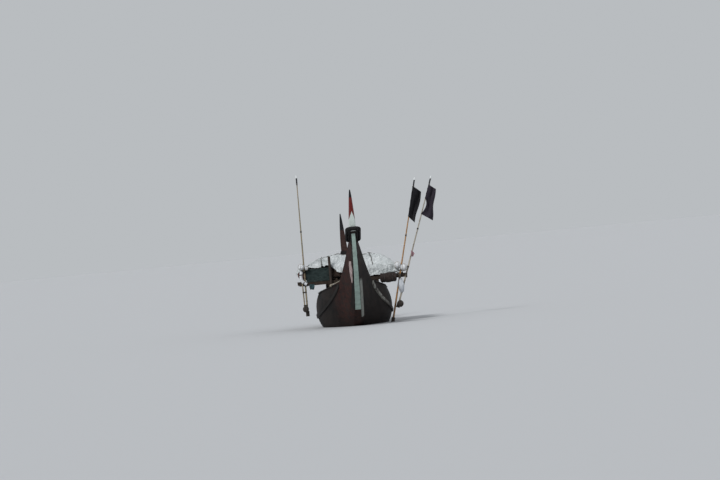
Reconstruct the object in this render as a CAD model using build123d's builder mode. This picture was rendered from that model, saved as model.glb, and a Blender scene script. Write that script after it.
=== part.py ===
"""High prowed wooden fishing boat, afloat.

A crescent shaped planked hull whose stem and stern post sweep up into tall horns.
A platform on crossbeams stands amidships and carries a heap of nets under a tarpaulin.
Three bamboo marker poles with floats, weights and lamps are lashed to its ends, two of them with flags.
An inboard engine drives the propeller, and a rudder with a tiller turns in a trunk behind it.

Millimetres. +Z is up, z = 0 is the waterline, the bow points to -Y and +X is the port side.
The origin is on the centreline at the waterline, amidships.
"""
from build123d import *
import math
import os

os.makedirs("parts", exist_ok=True)

# Hull, overall
ARC_CENTRE_Z = 5450.0      # centre of the crescent above the water; every section plane passes through it
HALF_BEAM = 1200.0         # widest half breadth, just above the water
STERN_SHARE = 0.925        # the stern turns through this share of the bow's angles, so it is the lower horn
PLANK = 45.0               # thickness of the side planking
SEAM = 0.6                 # open seam between neighbouring planks
SEAT = 0.4                 # clearance where a piece is fitted against another one
FRAME_SEAT = 0.7           # the same for pieces fitted to the curved hull
WALE_LOW_Z = 380.0         # height of the wale amidships
RAIL_LOW_Z = 1100.0        # top of the bulwark amidships
BULWARK_SEAM_Z = 800.0     # seam between the two bulwark planks
SHEER_JOINT = (3300.0, 1400.0)     # where bulwark, wale and horn meet: distance from amidships, height
HORN_SHEER = (4714.0, 2617.0)      # a point on the inner edge of the bow horn
HORN_TOP = (5790.0, 4330.0)        # the inner edge continued past the horn's tip
HORN_FOOT = 61.0           # angle at which the planking ends and the solid horn begins
HOLLOW_END = 56.5          # angle at which the hollow of the hull ends
BUTTS = (-36.0, 34.0)      # angles of the butt joints in keel and strakes
TOP_MARGIN = 90.0          # how far the rough form stands above the sheer before it is trimmed

# Sections of the bow half, seen along the crescent. The stern half repeats them at STERN_SHARE of the angle.
# angle, keel radius, half width of keel face, share of half beam at mid depth and at the top, floor depth
STATIONS = (
    (0, 6000, 230, 1.000, 0.885, 45),
    (16, 6020, 200, 0.900, 0.830, 45),
    (29, 6055, 150, 0.585, 0.690, 60),
    (39, 6080, 105, 0.320, 0.475, 105),
    (50, 6078, 82, 0.195, 0.295, 140),
    (60, 6050, 68, 0.105, 0.125, 175),
    (66, 6022, 60, 0.085, 0.096, 190),
)

# Seams below the wale: name of the strake under the seam, its depth amidships, its depth at the horns
SEAMS = (
    ("keel", 70.0, 120.0),
    ("garboard", 260.0, 205.0),
    ("bilge", 560.0, 320.0),
)
HORN_SEAM_ANGLE = 58.0

# Solid heads of the horns: angle, front radius, half width in front, half width behind, depth
BOW_HEAD = (
    (HORN_FOOT + 0.006, 6044, 66, 112, 505),
    (65, 6034, 82, 106, 400),
    (69, 6024, 66, 96, 300),
    (73, 6010, 36, 70, 195),
    (76.5, 6000, 20, 44, 110),
    (78.8, 5995, 10, 14, 45),
)
STERN_HEAD = (
    (HORN_FOOT * STERN_SHARE + 0.006, 6044, 66, 112, 505),
    (60, 6034, 62, 102, 400),
    (64, 6024, 50, 84, 300),
    (68, 6010, 34, 58, 200),
    (72.5, 6000, 12, 16, 60),
)

# Inside the hull
RIB_DEPTH = 70.0
RIB_WIDTH = 60.0
RIB_YS = (-2350.0, -1600.0, -850.0, -60.0, 620.0, 1750.0, 2350.0)
DECK_Z = 200.0             # underside of the deck planks
DECK_THICK = 30.0
DECK_YS = (-2600.0, 2450.0)
DECK_PLANK_WIDTH = 235.0
DECK_GAP = 10.0
ENGINE_WELL = ((-360.0, 360.0), (700.0, 1690.0))   # hatch over the engine: x and y limits
SMALL_DECKS = (("fore_deck", -3500.0, -2520.0, 1010.0), ("aft_deck", 2560.0, 3330.0, 830.0))

# Wale and gunwale
WALE_THICK = 40.0
WALE_DEEP = 90.0
RAIL_THICK = 35.0
RAIL_OVERHANG = 25.0

# Engine and shaft line
BEARER_X = 190.0
BEARER_WIDTH = 70.0
BEARER_TOP_Z = -150.0
ENGINE_LENGTH = 780.0
ENGINE_END_Y = 1600.0
ENGINE_BOTTOM_Z = -300.0
SHAFT_RADIUS = 20.0
SHAFT_ANGLE = 15.0
RUNNING_GAP = 0.08
PROPELLER_Y, PROPELLER_Z = 2640.0, -330.0
SHAFT_END = (PROPELLER_Y - ENGINE_END_Y) / math.cos(math.radians(SHAFT_ANGLE))
TUBE_RADIUS = 42.0
TUBE_START = 75.0          # distances from the propeller's centre along the shaft
TUBE_END = 780.0
HUB_RADIUS = 38.0
HUB_LENGTH = 110.0
HATCH_THICK = 30.0
BLADE = ((30, 78, 16, 52), (105, 118, 11, 32), (180, 60, 6, 22))   # radius, chord, thickness, pitch angle

# Skeg and rudder
SKEG_BOTTOM_Z = -560.0
SKEG_START_Y, SKEG_END_Y = 950.0, 2500.0
SKEG_THICK = 70.0
SHOE_THICK = 26.0
STOCK_RADIUS = 24.0
PINTLE_RADIUS = 14.0
STOCK_Y = 3020.0
STOCK_TOP_Z = 1330.0
RUDDER_CHORD = 440.0
RUDDER_TOP_Z = 80.0
TRUNK_RADIUS = 46.0
TRUNK_TOP_Z = 890.0
TILLER_LENGTH = 870.0

# Platform
BEAM_YS = (-1550.0, 0.0, 1550.0)
BEAM_HALF = 1740.0
BEAM_WIDTH = 110.0
BEAM_BOTTOM_Z = 1400.0
BEAM_TOP_Z = 1510.0
POST_X = 770.0
POST_WIDTH = 90.0
SLAT_RADIUS = 27.0
SLAT_SPACING = 265.0
SLAT_COUNT = 13
SLAT_YS = (-1560.0, 1750.0)

# Load on the platform
HEAP_XS = (-1290.0, 1440.0)
HEAP_YS = (-1520.0, 1600.0)
HEAP_SHOULDER_Z = 1990.0
HEAP_TOP_Z = 2240.0
TARP_THICK = 12.0
TARP_HEM_Z = 1620.0
ROLL_RADIUS = 190.0
ROLL_X = -1545.0
ROLL_YS = (-1540.0, 700.0)
PORT_ROLL_RADIUS = 170.0
PORT_ROLL_XS = (850.0, 1385.0)
PORT_ROLL_Z = 1435.0
BOARD_XS = (-1500.0, -700.0)
BOARD_HEIGHT = 420.0
BOARD_THICK = 30.0
BITT_X = -720.0
BITT_RADIUS = 43.0
BITT_TOP_Z = 2280.0

# Ring on the bow horn: a long loop seen end on
RING_CENTRE = (-5158.8, 2908.4)
RING_TILT = 23.0
RING_HALF_LENGTH = 486.0
RING_HALF_WIDTH = 197.0
RING_CORNER = 110.0
RING_RADIUS = 50.0

# Marker poles: name, foot (x, z), tip (x, z)
POLE_RADII = (30.0, 15.0)
POLES = (
    ("starboard", (-1560.0, 600.0), (-1520.0, 4710.0)),
    ("inner port", (1170.0, 139.0), (2206.0, 4300.0)),
    ("outer port", (1393.0, 600.0), (2714.0, 4310.0)),
)
LAMP_RADIUS = 24.0
LAMP_HEIGHT = 250.0
WEIGHT_RADIUS = 58.0
WEIGHT_HEIGHT = 170.0

# Floats tied in front of a pole: pole, x, z, radius
FLOATS = (
    (0, -1632.0, 2019.0, 100.0),
    (0, -1470.0, 1960.0, 60.0),
    (1, 1450.0, 1790.0, 110.0),
    (1, 1643.0, 1706.0, 110.0),
)
BAG = (2, 1508.0, 1141.0, 110.0, 240.0)      # pole, x, z, radius, half height
FLAG_THICK = 6.0
FLAGS = (
    ("inner_flag", 1, ((2203, 4290), (2440, 4040), (2261, 3447), (2131, 3106), (1962, 3319))),
    ("outer_flag", 2, ((2707, 4290), (2917, 4091), (2862, 3679), (2743, 3112), (2370, 3344))),
)


def in_side_view(angle, radius):
    """Point (y, z) of the side view at an angle from straight down; the bow's angles are negative."""
    turn = math.radians(angle)
    return (radius * math.sin(turn), ARC_CENTRE_Z - radius * math.cos(turn))


def section_plane(angle):
    """Plane of one hull section: local x athwart, local y from the crescent's centre outwards."""
    turn = math.radians(angle)
    outwards = Vector(0, math.sin(turn), -math.cos(turn))
    return Plane(origin=(0, 0, ARC_CENTRE_Z), x_dir=(1, 0, 0), z_dir=Vector(1, 0, 0).cross(outwards))


def circle_through(a, b, c):
    """Centre and radius of the circle through three points of a plane."""
    (ax, ay), (bx, by), (cx, cy) = a, b, c
    d = 2 * (ax * (by - cy) + bx * (cy - ay) + cx * (ay - by))
    aa, bb, cc = ax**2 + ay**2, bx**2 + by**2, cx**2 + cy**2
    ux = (aa * (by - cy) + bb * (cy - ay) + cc * (ay - by)) / d
    uy = (aa * (cx - bx) + bb * (ax - cx) + cc * (bx - ax)) / d
    return (ux, uy), math.hypot(ax - ux, ay - uy)


def sheer_radius(bow_angle):
    """Distance from the crescent's centre to the top edge of the bow half."""
    joint_angle = math.degrees(math.atan2(SHEER_JOINT[0], ARC_CENTRE_Z - SHEER_JOINT[1]))
    if bow_angle <= joint_angle:
        edge = ((-SHEER_JOINT[0], SHEER_JOINT[1]), (0, RAIL_LOW_Z), SHEER_JOINT)
    else:
        edge = (SHEER_JOINT, HORN_SHEER, HORN_TOP)
    (cy, cz), radius = circle_through(*edge)
    turn = math.radians(bow_angle)
    along = -cy * math.sin(turn) - (ARC_CENTRE_Z - cz) * math.cos(turn)
    reach = cy**2 + (ARC_CENTRE_Z - cz) ** 2 - radius**2
    return -along + math.sqrt(along**2 - reach)


def stern_point(point):
    """The stern's counterpart of a point of the bow's side view, given as distance from amidships and height."""
    radius = math.hypot(point[0], ARC_CENTRE_Z - point[1])
    angle = math.degrees(math.atan2(point[0], ARC_CENTRE_Z - point[1]))
    return in_side_view(angle * STERN_SHARE, radius)


def bow_point(point):
    return (-point[0], point[1])


def signed_stations():
    """Every section from bow to stern as (signed angle, row of the table)."""
    bow = [(-row[0], row) for row in reversed(STATIONS)]
    stern = [(row[0] * STERN_SHARE, row) for row in STATIONS[1:]]
    return bow + stern


def hull_form(inset, stations):
    """Solid through the sections, its side faces inset from the outer skin and its floor raised with them."""
    with BuildPart() as form:
        for angle, (bow_angle, keel, face, mid, top, floor) in stations:
            depth = keel - sheer_radius(bow_angle) + TOP_MARGIN
            (cx, cd), radius = circle_through((face, 0), (mid * HALF_BEAM, depth / 2), (top * HALF_BEAM, depth))
            low = floor + inset - PLANK if inset > 0 else inset
            high = depth + TOP_MARGIN if inset > 0 else depth
            side = [
                (cx + math.sqrt((radius - inset) ** 2 - (d - cd) ** 2), keel - d)
                for d in (low, (low + high) / 2, high)
            ]
            mirrored = [(-x, r) for x, r in side]
            with BuildSketch(section_plane(angle)):
                with BuildLine():
                    ThreePointArc(*side)
                    Line(side[2], mirrored[2])
                    ThreePointArc(*reversed(mirrored))
                    Line(mirrored[0], side[0])
                make_face()
        loft()
    return form.part


def drum(circle):
    """Cylinder across the hull on a circle of the side view."""
    (cy, cz), radius = circle
    with BuildPart() as solid:
        with BuildSketch(Plane.YZ):
            with Locations((cy, cz)):
                Circle(radius)
        extrude(amount=2 * HALF_BEAM, both=True)
    return solid.part


def slab(y_low, y_high, z_low, z_high, half_width=2000.0):
    """Plain block, for cutting."""
    with BuildPart() as solid:
        with Locations((0, (y_low + y_high) / 2, (z_low + z_high) / 2)):
            Box(2 * half_width, y_high - y_low, z_high - z_low)
    return solid.part


def seam_circle(depth_amidships, depth_at_horns):
    """Side view circle of a plank seam."""
    radius = STATIONS[0][1]
    horn = STATIONS[5][1] - depth_at_horns
    return circle_through(
        in_side_view(-HORN_SEAM_ANGLE, horn),
        in_side_view(0, radius - depth_amidships),
        in_side_view(HORN_SEAM_ANGLE * STERN_SHARE, horn),
    )


WALE_CIRCLE = circle_through(bow_point(SHEER_JOINT), (0, WALE_LOW_Z), stern_point(SHEER_JOINT))
RAIL_CIRCLE = circle_through(bow_point(SHEER_JOINT), (0, RAIL_LOW_Z), stern_point(SHEER_JOINT))


def above_sheer():
    """Everything above the hull's top edge."""
    bow = [bow_point(p) for p in (SHEER_JOINT, HORN_SHEER, HORN_TOP)]
    stern = [stern_point(p) for p in (SHEER_JOINT, HORN_SHEER, HORN_TOP)]
    with BuildPart() as solid:
        with BuildSketch(Plane.YZ):
            with BuildLine():
                ThreePointArc(bow[2], bow[1], bow[0])
                ThreePointArc(bow[0], (0, RAIL_LOW_Z), stern[0])
                ThreePointArc(stern[0], stern[1], stern[2])
                Line(stern[2], bow[2])
            make_face()
        extrude(amount=2 * HALF_BEAM, both=True)
    return solid.part


def between_planes(part, bow_angle, stern_angle):
    """The stretch of a part between two section planes."""
    with BuildPart() as cut:
        add(part)
        for angle in (bow_angle, stern_angle):
            split(bisect_by=section_plane(angle), keep=Keep.BOTTOM if angle > 0 else Keep.TOP)
    return cut.part


def finished(part, name):
    """Label a piece and write it."""
    part.label = name
    export_step(part, f"parts/{name}.step")
    print(name, len(part.solids()), round(part.volume / 1e6, 2), part.is_valid)


# Hull planking
MIDBODY = signed_stations()[2:-2]
OUTER_FORM = hull_form(0, signed_stations())
HOLLOW = between_planes(hull_form(PLANK, signed_stations()[1:-1]), -HOLLOW_END, HOLLOW_END * STERN_SHARE)
ABOVE = above_sheer()
DRUMS = {name: drum(seam_circle(*depths)) for name, *depths in SEAMS}
DRUMS["side"] = drum(WALE_CIRCLE)

with BuildPart() as shell:
    add(between_planes(OUTER_FORM, -HORN_FOOT, HORN_FOOT * STERN_SHARE))
    add(ABOVE, mode=Mode.SUBTRACT)
    add(HOLLOW, mode=Mode.SUBTRACT)

with BuildPart() as butt_cuts:
    for butt in BUTTS:
        with BuildSketch(section_plane(butt)):
            with Locations((0, STATIONS[0][1] - 900)):
                Rectangle(4 * HALF_BEAM, 2600)
        extrude(amount=SEAM / 2, both=True)

with BuildPart() as port_shell:
    add(shell.part)
    add(butt_cuts.part, mode=Mode.SUBTRACT)
    split(bisect_by=Plane.YZ.offset(SEAM / 2), keep=Keep.TOP)


def grown(circle, more):
    return circle[0], circle[1] + more


def port_band(under, over):
    """Strip of the port planking between two drums."""
    with BuildPart() as strip:
        add(port_shell.part)
        add(under, mode=Mode.INTERSECT)
        if over:
            add(over, mode=Mode.SUBTRACT)
    return strip.part


def both_sides(port_part, name):
    """Write a port piece and its mirror image to starboard."""
    finished(port_part, f"port_{name}")
    finished(mirror(port_part, about=Plane.YZ), f"starboard_{name}")


SHAFT_PLANE = Plane(
    origin=(0, PROPELLER_Y, PROPELLER_Z),
    x_dir=(1, 0, 0),
    z_dir=(0, -math.cos(math.radians(SHAFT_ANGLE)), math.sin(math.radians(SHAFT_ANGLE))),
)
STOCK_PLANE = Plane.XY.offset(SKEG_BOTTOM_Z)
STOCK_PLANE.origin = (0, STOCK_Y, SKEG_BOTTOM_Z)


def rod(plane, radius, start, end):
    """Plain round bar along a plane's normal."""
    with BuildPart() as bar:
        with BuildSketch(plane.offset(start)):
            Circle(radius)
        extrude(amount=end - start)
    return bar.part


TUBE_CUT = rod(SHAFT_PLANE, TUBE_RADIUS + SEAT, 0, TUBE_END + 60)
STOCK_CUT = rod(STOCK_PLANE, STOCK_RADIUS + RUNNING_GAP, 0, 2000)

with BuildPart() as keel_ring:
    add(shell.part)
    add(DRUMS["keel"], mode=Mode.SUBTRACT)
    add(butt_cuts.part, mode=Mode.SUBTRACT)
for name, solid in zip(("bow_stem", "keel_plank", "stern_post"), keel_ring.part.solids().sort_by(Axis.Y)):
    with BuildPart() as timber:
        add(solid)
        if name == "keel_plank":
            add(TUBE_CUT, mode=Mode.SUBTRACT)
            add(STOCK_CUT, mode=Mode.SUBTRACT)
    finished(timber.part, name)

for (_, *depths), name in zip(SEAMS, ("garboard", "bilge", "side")):
    with BuildPart() as strake:
        add(port_band(drum(grown(seam_circle(*depths), -SEAM)), DRUMS[name]))
        if name == "garboard":
            add(TUBE_CUT, mode=Mode.SUBTRACT)
    both_sides(strake.part, f"{name}_strake")

BULWARK = port_band(drum(grown(WALE_CIRCLE, -SEAM)), None)
with BuildPart() as lower_bulwark:
    add(BULWARK)
    split(bisect_by=Plane.XY.offset(BULWARK_SEAM_Z), keep=Keep.BOTTOM)
both_sides(lower_bulwark.part, "lower_bulwark")
with BuildPart() as upper_bulwark:
    add(BULWARK)
    split(bisect_by=Plane.XY.offset(BULWARK_SEAM_Z + SEAM), keep=Keep.TOP)
both_sides(upper_bulwark.part, "upper_bulwark")

# Wale and gunwale rail
ALONG = slab(-SHEER_JOINT[0] + 10, stern_point(SHEER_JOINT)[0] - 10, -1000, 3000)
with BuildPart() as wale:
    add(hull_form(-WALE_THICK, signed_stations()))
    add(hull_form(-SEAT, signed_stations()), mode=Mode.SUBTRACT)
    add(ALONG, mode=Mode.INTERSECT)
    add(drum(grown(WALE_CIRCLE, WALE_DEEP)), mode=Mode.INTERSECT)
    add(drum(WALE_CIRCLE), mode=Mode.SUBTRACT)
    split(bisect_by=Plane.YZ, keep=Keep.TOP)
both_sides(wale.part, "wale")
with BuildPart() as rail:
    add(hull_form(-RAIL_OVERHANG, signed_stations()))
    add(hull_form(PLANK + RAIL_OVERHANG, MIDBODY), mode=Mode.SUBTRACT)
    add(ALONG, mode=Mode.INTERSECT)
    add(drum(grown(RAIL_CIRCLE, -SEAT)), mode=Mode.INTERSECT)
    add(drum(grown(RAIL_CIRCLE, -SEAT - RAIL_THICK)), mode=Mode.SUBTRACT)
    split(bisect_by=Plane.YZ, keep=Keep.TOP)
both_sides(rail.part, "gunwale")


# Solid heads of the horns
def horn_head(rows, side_sign):
    with BuildPart() as head:
        for angle, radius, front, back, depth in rows:
            with BuildSketch(section_plane(side_sign * angle)):
                with BuildLine():
                    Polyline(
                        (-front, radius), (front, radius), (back, radius - depth), (-back, radius - depth),
                        close=True,
                    )
                make_face()
        loft()
    return head.part


finished(horn_head(BOW_HEAD, -1), "bow_head")
finished(horn_head(STERN_HEAD, 1), "stern_head")

# Frames: a rib up each side, joined by a beam under the deck
with BuildPart() as rib_core:
    add(hull_form(PLANK + RIB_DEPTH, MIDBODY))
    add(slab(-6000, 6000, DECK_Z - SEAT - RIB_DEPTH, DECK_Z - SEAT), mode=Mode.SUBTRACT)
INNER = hull_form(PLANK + FRAME_SEAT, signed_stations()[1:-1])
with BuildPart() as frames:
    for y in RIB_YS:
        add(slab(y - RIB_WIDTH / 2, y + RIB_WIDTH / 2, -1000, 3000))
    add(INNER, mode=Mode.INTERSECT)
    add(rib_core.part, mode=Mode.SUBTRACT)
    add(ABOVE, mode=Mode.SUBTRACT)
finished(frames.part, "frames")

# Deck planks, cut round the engine hatch
(hatch_x0, hatch_x1), (hatch_y0, hatch_y1) = ENGINE_WELL
with BuildPart() as hatch_cut:
    with Locations((0, (hatch_y0 + hatch_y1) / 2, DECK_Z)):
        Box(hatch_x1 - hatch_x0, hatch_y1 - hatch_y0, 4 * DECK_THICK)
with BuildPart() as deck:
    with BuildSketch(Plane.XY.offset(DECK_Z)):
        with Locations((0, sum(DECK_YS) / 2)):
            with GridLocations(DECK_PLANK_WIDTH + DECK_GAP, 1, 9, 1):
                Rectangle(DECK_PLANK_WIDTH, DECK_YS[1] - DECK_YS[0])
    extrude(amount=DECK_THICK)
    add(hull_form(PLANK + RIB_DEPTH + SEAT, MIDBODY), mode=Mode.INTERSECT)
    add(hatch_cut.part, mode=Mode.SUBTRACT)
finished(deck.part, "deck_boards")
with BuildPart() as hatch:
    with Locations((0, (hatch_y0 + hatch_y1) / 2, DECK_Z + DECK_THICK + SEAT + HATCH_THICK / 2)):
        Box(hatch_x1 - hatch_x0 + 60, hatch_y1 - hatch_y0 + 60, HATCH_THICK)
    for sign in (-1, 1):
        with Locations((0, (hatch_y0 + hatch_y1) / 2 + sign * 300, DECK_Z + DECK_THICK + HATCH_THICK + 18)):
            Box(hatch_x1 - hatch_x0, 70, 36)
finished(hatch.part, "engine_hatch")

# Short decks fore and aft, planked athwart
TRUNK_HOLE = rod(STOCK_PLANE, TRUNK_RADIUS + SEAT, 0, 2000)
for name, y_low, y_high, z in SMALL_DECKS:
    count = round((y_high - y_low) / 200)
    width = (y_high - y_low) / count
    with BuildPart() as small_deck:
        with BuildSketch(Plane.XY.offset(z)):
            with Locations((0, (y_low + y_high) / 2)):
                with GridLocations(1, width, 1, count):
                    Rectangle(2 * HALF_BEAM, width - DECK_GAP)
        extrude(amount=DECK_THICK)
        add(INNER, mode=Mode.INTERSECT)
        add(TRUNK_HOLE, mode=Mode.SUBTRACT)
    finished(small_deck.part, name)

# Engine and shaft line
with BuildPart() as bearers:
    for sign in (-1, 1):
        with Locations((sign * BEARER_X, (hatch_y0 + hatch_y1) / 2, BEARER_TOP_Z - 400)):
            Box(BEARER_WIDTH, hatch_y1 - hatch_y0 - 20, 800)
    add(INNER, mode=Mode.INTERSECT)
finished(bearers.part, "engine_bearers")
with BuildPart() as engine:
    with BuildSketch(Plane.XY.offset(BEARER_TOP_Z + SEAT)):
        with Locations((0, ENGINE_END_Y - ENGINE_LENGTH / 2)):
            Rectangle(2 * BEARER_X + BEARER_WIDTH, ENGINE_LENGTH)
    extrude(amount=60)
    with BuildSketch(Plane.XY.offset(ENGINE_BOTTOM_Z)):
        with Locations((0, ENGINE_END_Y - ENGINE_LENGTH / 2)):
            Rectangle(2 * BEARER_X - BEARER_WIDTH - 20, ENGINE_LENGTH)
    extrude(amount=DECK_Z - 40 - ENGINE_BOTTOM_Z)
    add(rod(SHAFT_PLANE, SHAFT_RADIUS + 10, 0, SHAFT_END + 4), mode=Mode.SUBTRACT)
finished(engine.part, "engine")
with BuildPart() as shaft:
    add(rod(SHAFT_PLANE, SHAFT_RADIUS, -HUB_LENGTH / 2 - 40, SHAFT_END))
finished(shaft.part, "propeller_shaft")
with BuildPart() as stern_tube:
    add(rod(SHAFT_PLANE, TUBE_RADIUS, TUBE_START, TUBE_END))
    add(rod(SHAFT_PLANE, SHAFT_RADIUS + RUNNING_GAP, TUBE_START - 1, TUBE_END + 1), mode=Mode.SUBTRACT)
finished(stern_tube.part, "stern_tube")

with BuildPart() as blade:
    for radius, chord, thickness, pitch in BLADE:
        turn = math.radians(pitch)
        with BuildSketch(Plane(origin=(radius, 0, 0), z_dir=(1, 0, 0), x_dir=(0, math.cos(turn), math.sin(turn)))):
            with BuildLine():
                ThreePointArc((-chord / 2, 0), (0, thickness / 2), (chord / 2, 0))
                ThreePointArc((chord / 2, 0), (0, -thickness / 2), (-chord / 2, 0))
            make_face()
    loft()
with BuildPart() as screw:
    Cylinder(HUB_RADIUS, HUB_LENGTH)
    with PolarLocations(0, 3):
        add(blade.part)
    Cylinder(SHAFT_RADIUS + 0.05, HUB_LENGTH + 2, mode=Mode.SUBTRACT)
finished(screw.part.moved(SHAFT_PLANE.location), "propeller")

# Skeg, shoe and steering
with BuildPart() as skeg:
    with BuildSketch(Plane.YZ):
        with BuildLine():
            Polyline(
                (SKEG_START_Y, SKEG_BOTTOM_Z + 20), (SKEG_START_Y + 500, SKEG_BOTTOM_Z),
                (SKEG_END_Y, SKEG_BOTTOM_Z), (SKEG_END_Y, 300), (SKEG_START_Y, 300), close=True,
            )
        make_face()
    extrude(amount=SKEG_THICK / 2, both=True)
    add(hull_form(-FRAME_SEAT, signed_stations()), mode=Mode.SUBTRACT)
    add(rod(SHAFT_PLANE, TUBE_RADIUS + SEAT, 0, TUBE_END), mode=Mode.SUBTRACT)
finished(skeg.part.solids().sort_by(SortBy.VOLUME)[-1], "skeg")
with BuildPart() as shoe:
    with BuildSketch(Plane.XY.offset(SKEG_BOTTOM_Z - SEAT - SHOE_THICK)):
        with Locations((0, (SKEG_END_Y - 500 + STOCK_Y + 60) / 2)):
            RectangleRounded(SKEG_THICK, STOCK_Y + 560 - SKEG_END_Y, 20)
    extrude(amount=SHOE_THICK)
    add(rod(STOCK_PLANE, PINTLE_RADIUS + RUNNING_GAP, -100, 100), mode=Mode.SUBTRACT)
finished(shoe.part, "rudder_shoe")
with BuildPart() as stock:
    add(rod(STOCK_PLANE, PINTLE_RADIUS, -SHOE_THICK, 10))
    add(rod(STOCK_PLANE, STOCK_RADIUS, 2, STOCK_TOP_Z - SKEG_BOTTOM_Z))
finished(stock.part, "rudder_stock")
with BuildPart() as rudder:
    with BuildSketch(Plane.XY.offset(SKEG_BOTTOM_Z + 20)):
        with BuildLine():
            ThreePointArc((38, STOCK_Y), (0, STOCK_Y - 110), (-38, STOCK_Y))
            Line((-38, STOCK_Y), (-8, STOCK_Y + RUDDER_CHORD))
            Line((-8, STOCK_Y + RUDDER_CHORD), (8, STOCK_Y + RUDDER_CHORD))
            Line((8, STOCK_Y + RUDDER_CHORD), (38, STOCK_Y))
        make_face()
    extrude(amount=RUDDER_TOP_Z - SKEG_BOTTOM_Z - 20)
    add(rod(STOCK_PLANE, STOCK_RADIUS + 0.05, 0, 1000), mode=Mode.SUBTRACT)
finished(rudder.part, "rudder_blade")
with BuildPart() as trunk:
    add(rod(STOCK_PLANE, TRUNK_RADIUS, 300, TRUNK_TOP_Z - SKEG_BOTTOM_Z))
    add(INNER, mode=Mode.INTERSECT)
    add(STOCK_CUT, mode=Mode.SUBTRACT)
finished(trunk.part, "rudder_trunk")
with BuildPart() as tiller:
    with BuildSketch(Plane.XY.offset(STOCK_TOP_Z - 80)):
        with BuildLine():
            Polyline(
                (-45, STOCK_Y + 50), (-45, STOCK_Y - 60), (-20, STOCK_Y - TILLER_LENGTH),
                (20, STOCK_Y - TILLER_LENGTH), (45, STOCK_Y - 60), (45, STOCK_Y + 50), close=True,
            )
        make_face()
    extrude(amount=60)
    add(rod(STOCK_PLANE, STOCK_RADIUS + 0.05, 0, 3000), mode=Mode.SUBTRACT)
finished(tiller.part, "tiller")

# Platform: posts, crossbeams and bamboo poles
with BuildPart() as posts:
    with Locations(*[(x, y, 0) for x in (-POST_X, POST_X) for y in BEAM_YS]):
        with Locations((0, 0, (DECK_Z + DECK_THICK + BEAM_BOTTOM_Z) / 2)):
            Box(POST_WIDTH, POST_WIDTH, BEAM_BOTTOM_Z - DECK_Z - DECK_THICK - 2 * SEAT)
finished(posts.part, "platform_posts")
with BuildPart() as beams:
    with Locations(*[(0, y, (BEAM_BOTTOM_Z + BEAM_TOP_Z) / 2) for y in BEAM_YS]):
        Box(2 * BEAM_HALF, BEAM_WIDTH, BEAM_TOP_Z - BEAM_BOTTOM_Z)
finished(beams.part, "crossbeams")
with BuildPart() as slats:
    with BuildSketch(Plane.XZ.offset(-SLAT_YS[1])):
        with Locations((0, BEAM_TOP_Z + SLAT_RADIUS + SEAT)):
            with GridLocations(SLAT_SPACING, 1, SLAT_COUNT, 1):
                Circle(SLAT_RADIUS)
    extrude(amount=SLAT_YS[1] - SLAT_YS[0])
finished(slats.part, "platform_poles")


# Load: nets heaped on the platform under a tarpaulin
def heap_form(out, bottom):
    """The heap's front outline carried aft, cut to its side outline; out is the thickness laid over it."""
    (x0, x1), (y0, y1) = HEAP_XS, HEAP_YS
    crown = HEAP_TOP_Z + out
    with BuildPart() as form:
        with BuildSketch(Plane.XZ.offset(-y1 - out)):
            with BuildLine():
                ThreePointArc((x0 - out, HEAP_SHOULDER_Z), (-560, crown - 60), (150, crown))
                ThreePointArc((150, crown), (980, crown - 115), (x1 + out, HEAP_SHOULDER_Z - 130))
                Polyline(
                    (x1 + out, HEAP_SHOULDER_Z - 130), (x1 + out + 60, bottom), (x0 - out - 30, bottom),
                    (x0 - out, HEAP_SHOULDER_Z),
                )
            make_face()
        extrude(amount=y1 - y0 + 2 * out)
        with BuildSketch(Plane.YZ.offset(-3000)):
            with BuildLine():
                ThreePointArc((y0 - out, HEAP_SHOULDER_Z - 90), (0, crown + 2), (y1 + out, HEAP_SHOULDER_Z - 90))
                Polyline(
                    (y1 + out, HEAP_SHOULDER_Z - 90), (y1 + out, bottom), (y0 - out, bottom),
                    (y0 - out, HEAP_SHOULDER_Z - 90),
                )
            make_face()
        extrude(amount=6000, mode=Mode.INTERSECT)
    return form.part


SLAT_TOP_Z = BEAM_TOP_Z + 2 * SLAT_RADIUS + SEAT
with BuildPart() as heap:
    add(heap_form(0, SLAT_TOP_Z + SEAT))
finished(heap.part, "net_heap")
with BuildPart() as tarp:
    add(heap_form(TARP_THICK, TARP_HEM_Z))
    add(heap_form(SEAT, TARP_HEM_Z - 1), mode=Mode.SUBTRACT)
finished(tarp.part, "tarpaulin")

with BuildPart() as starboard_roll:
    outer_slat_x = -SLAT_SPACING * (SLAT_COUNT - 1) / 2
    lift = math.sqrt((ROLL_RADIUS + SLAT_RADIUS + SEAT) ** 2 - (ROLL_X - outer_slat_x) ** 2)
    roll_plane = Plane(origin=(ROLL_X, ROLL_YS[0], BEAM_TOP_Z + SLAT_RADIUS + SEAT + lift), z_dir=(0, 1, 0))
    add(rod(roll_plane, ROLL_RADIUS, 0, ROLL_YS[1] - ROLL_YS[0]))
finished(starboard_roll.part, "starboard_net_roll")
PORT_ROLL_Y = BEAM_YS[0] - BEAM_WIDTH / 2 - PORT_ROLL_RADIUS - SEAT
with BuildPart() as port_roll:
    add(rod(Plane(origin=(PORT_ROLL_XS[0], PORT_ROLL_Y, PORT_ROLL_Z), z_dir=(1, 0, 0)),
            PORT_ROLL_RADIUS, 0, PORT_ROLL_XS[1] - PORT_ROLL_XS[0]))
finished(port_roll.part, "port_net_roll")

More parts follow.
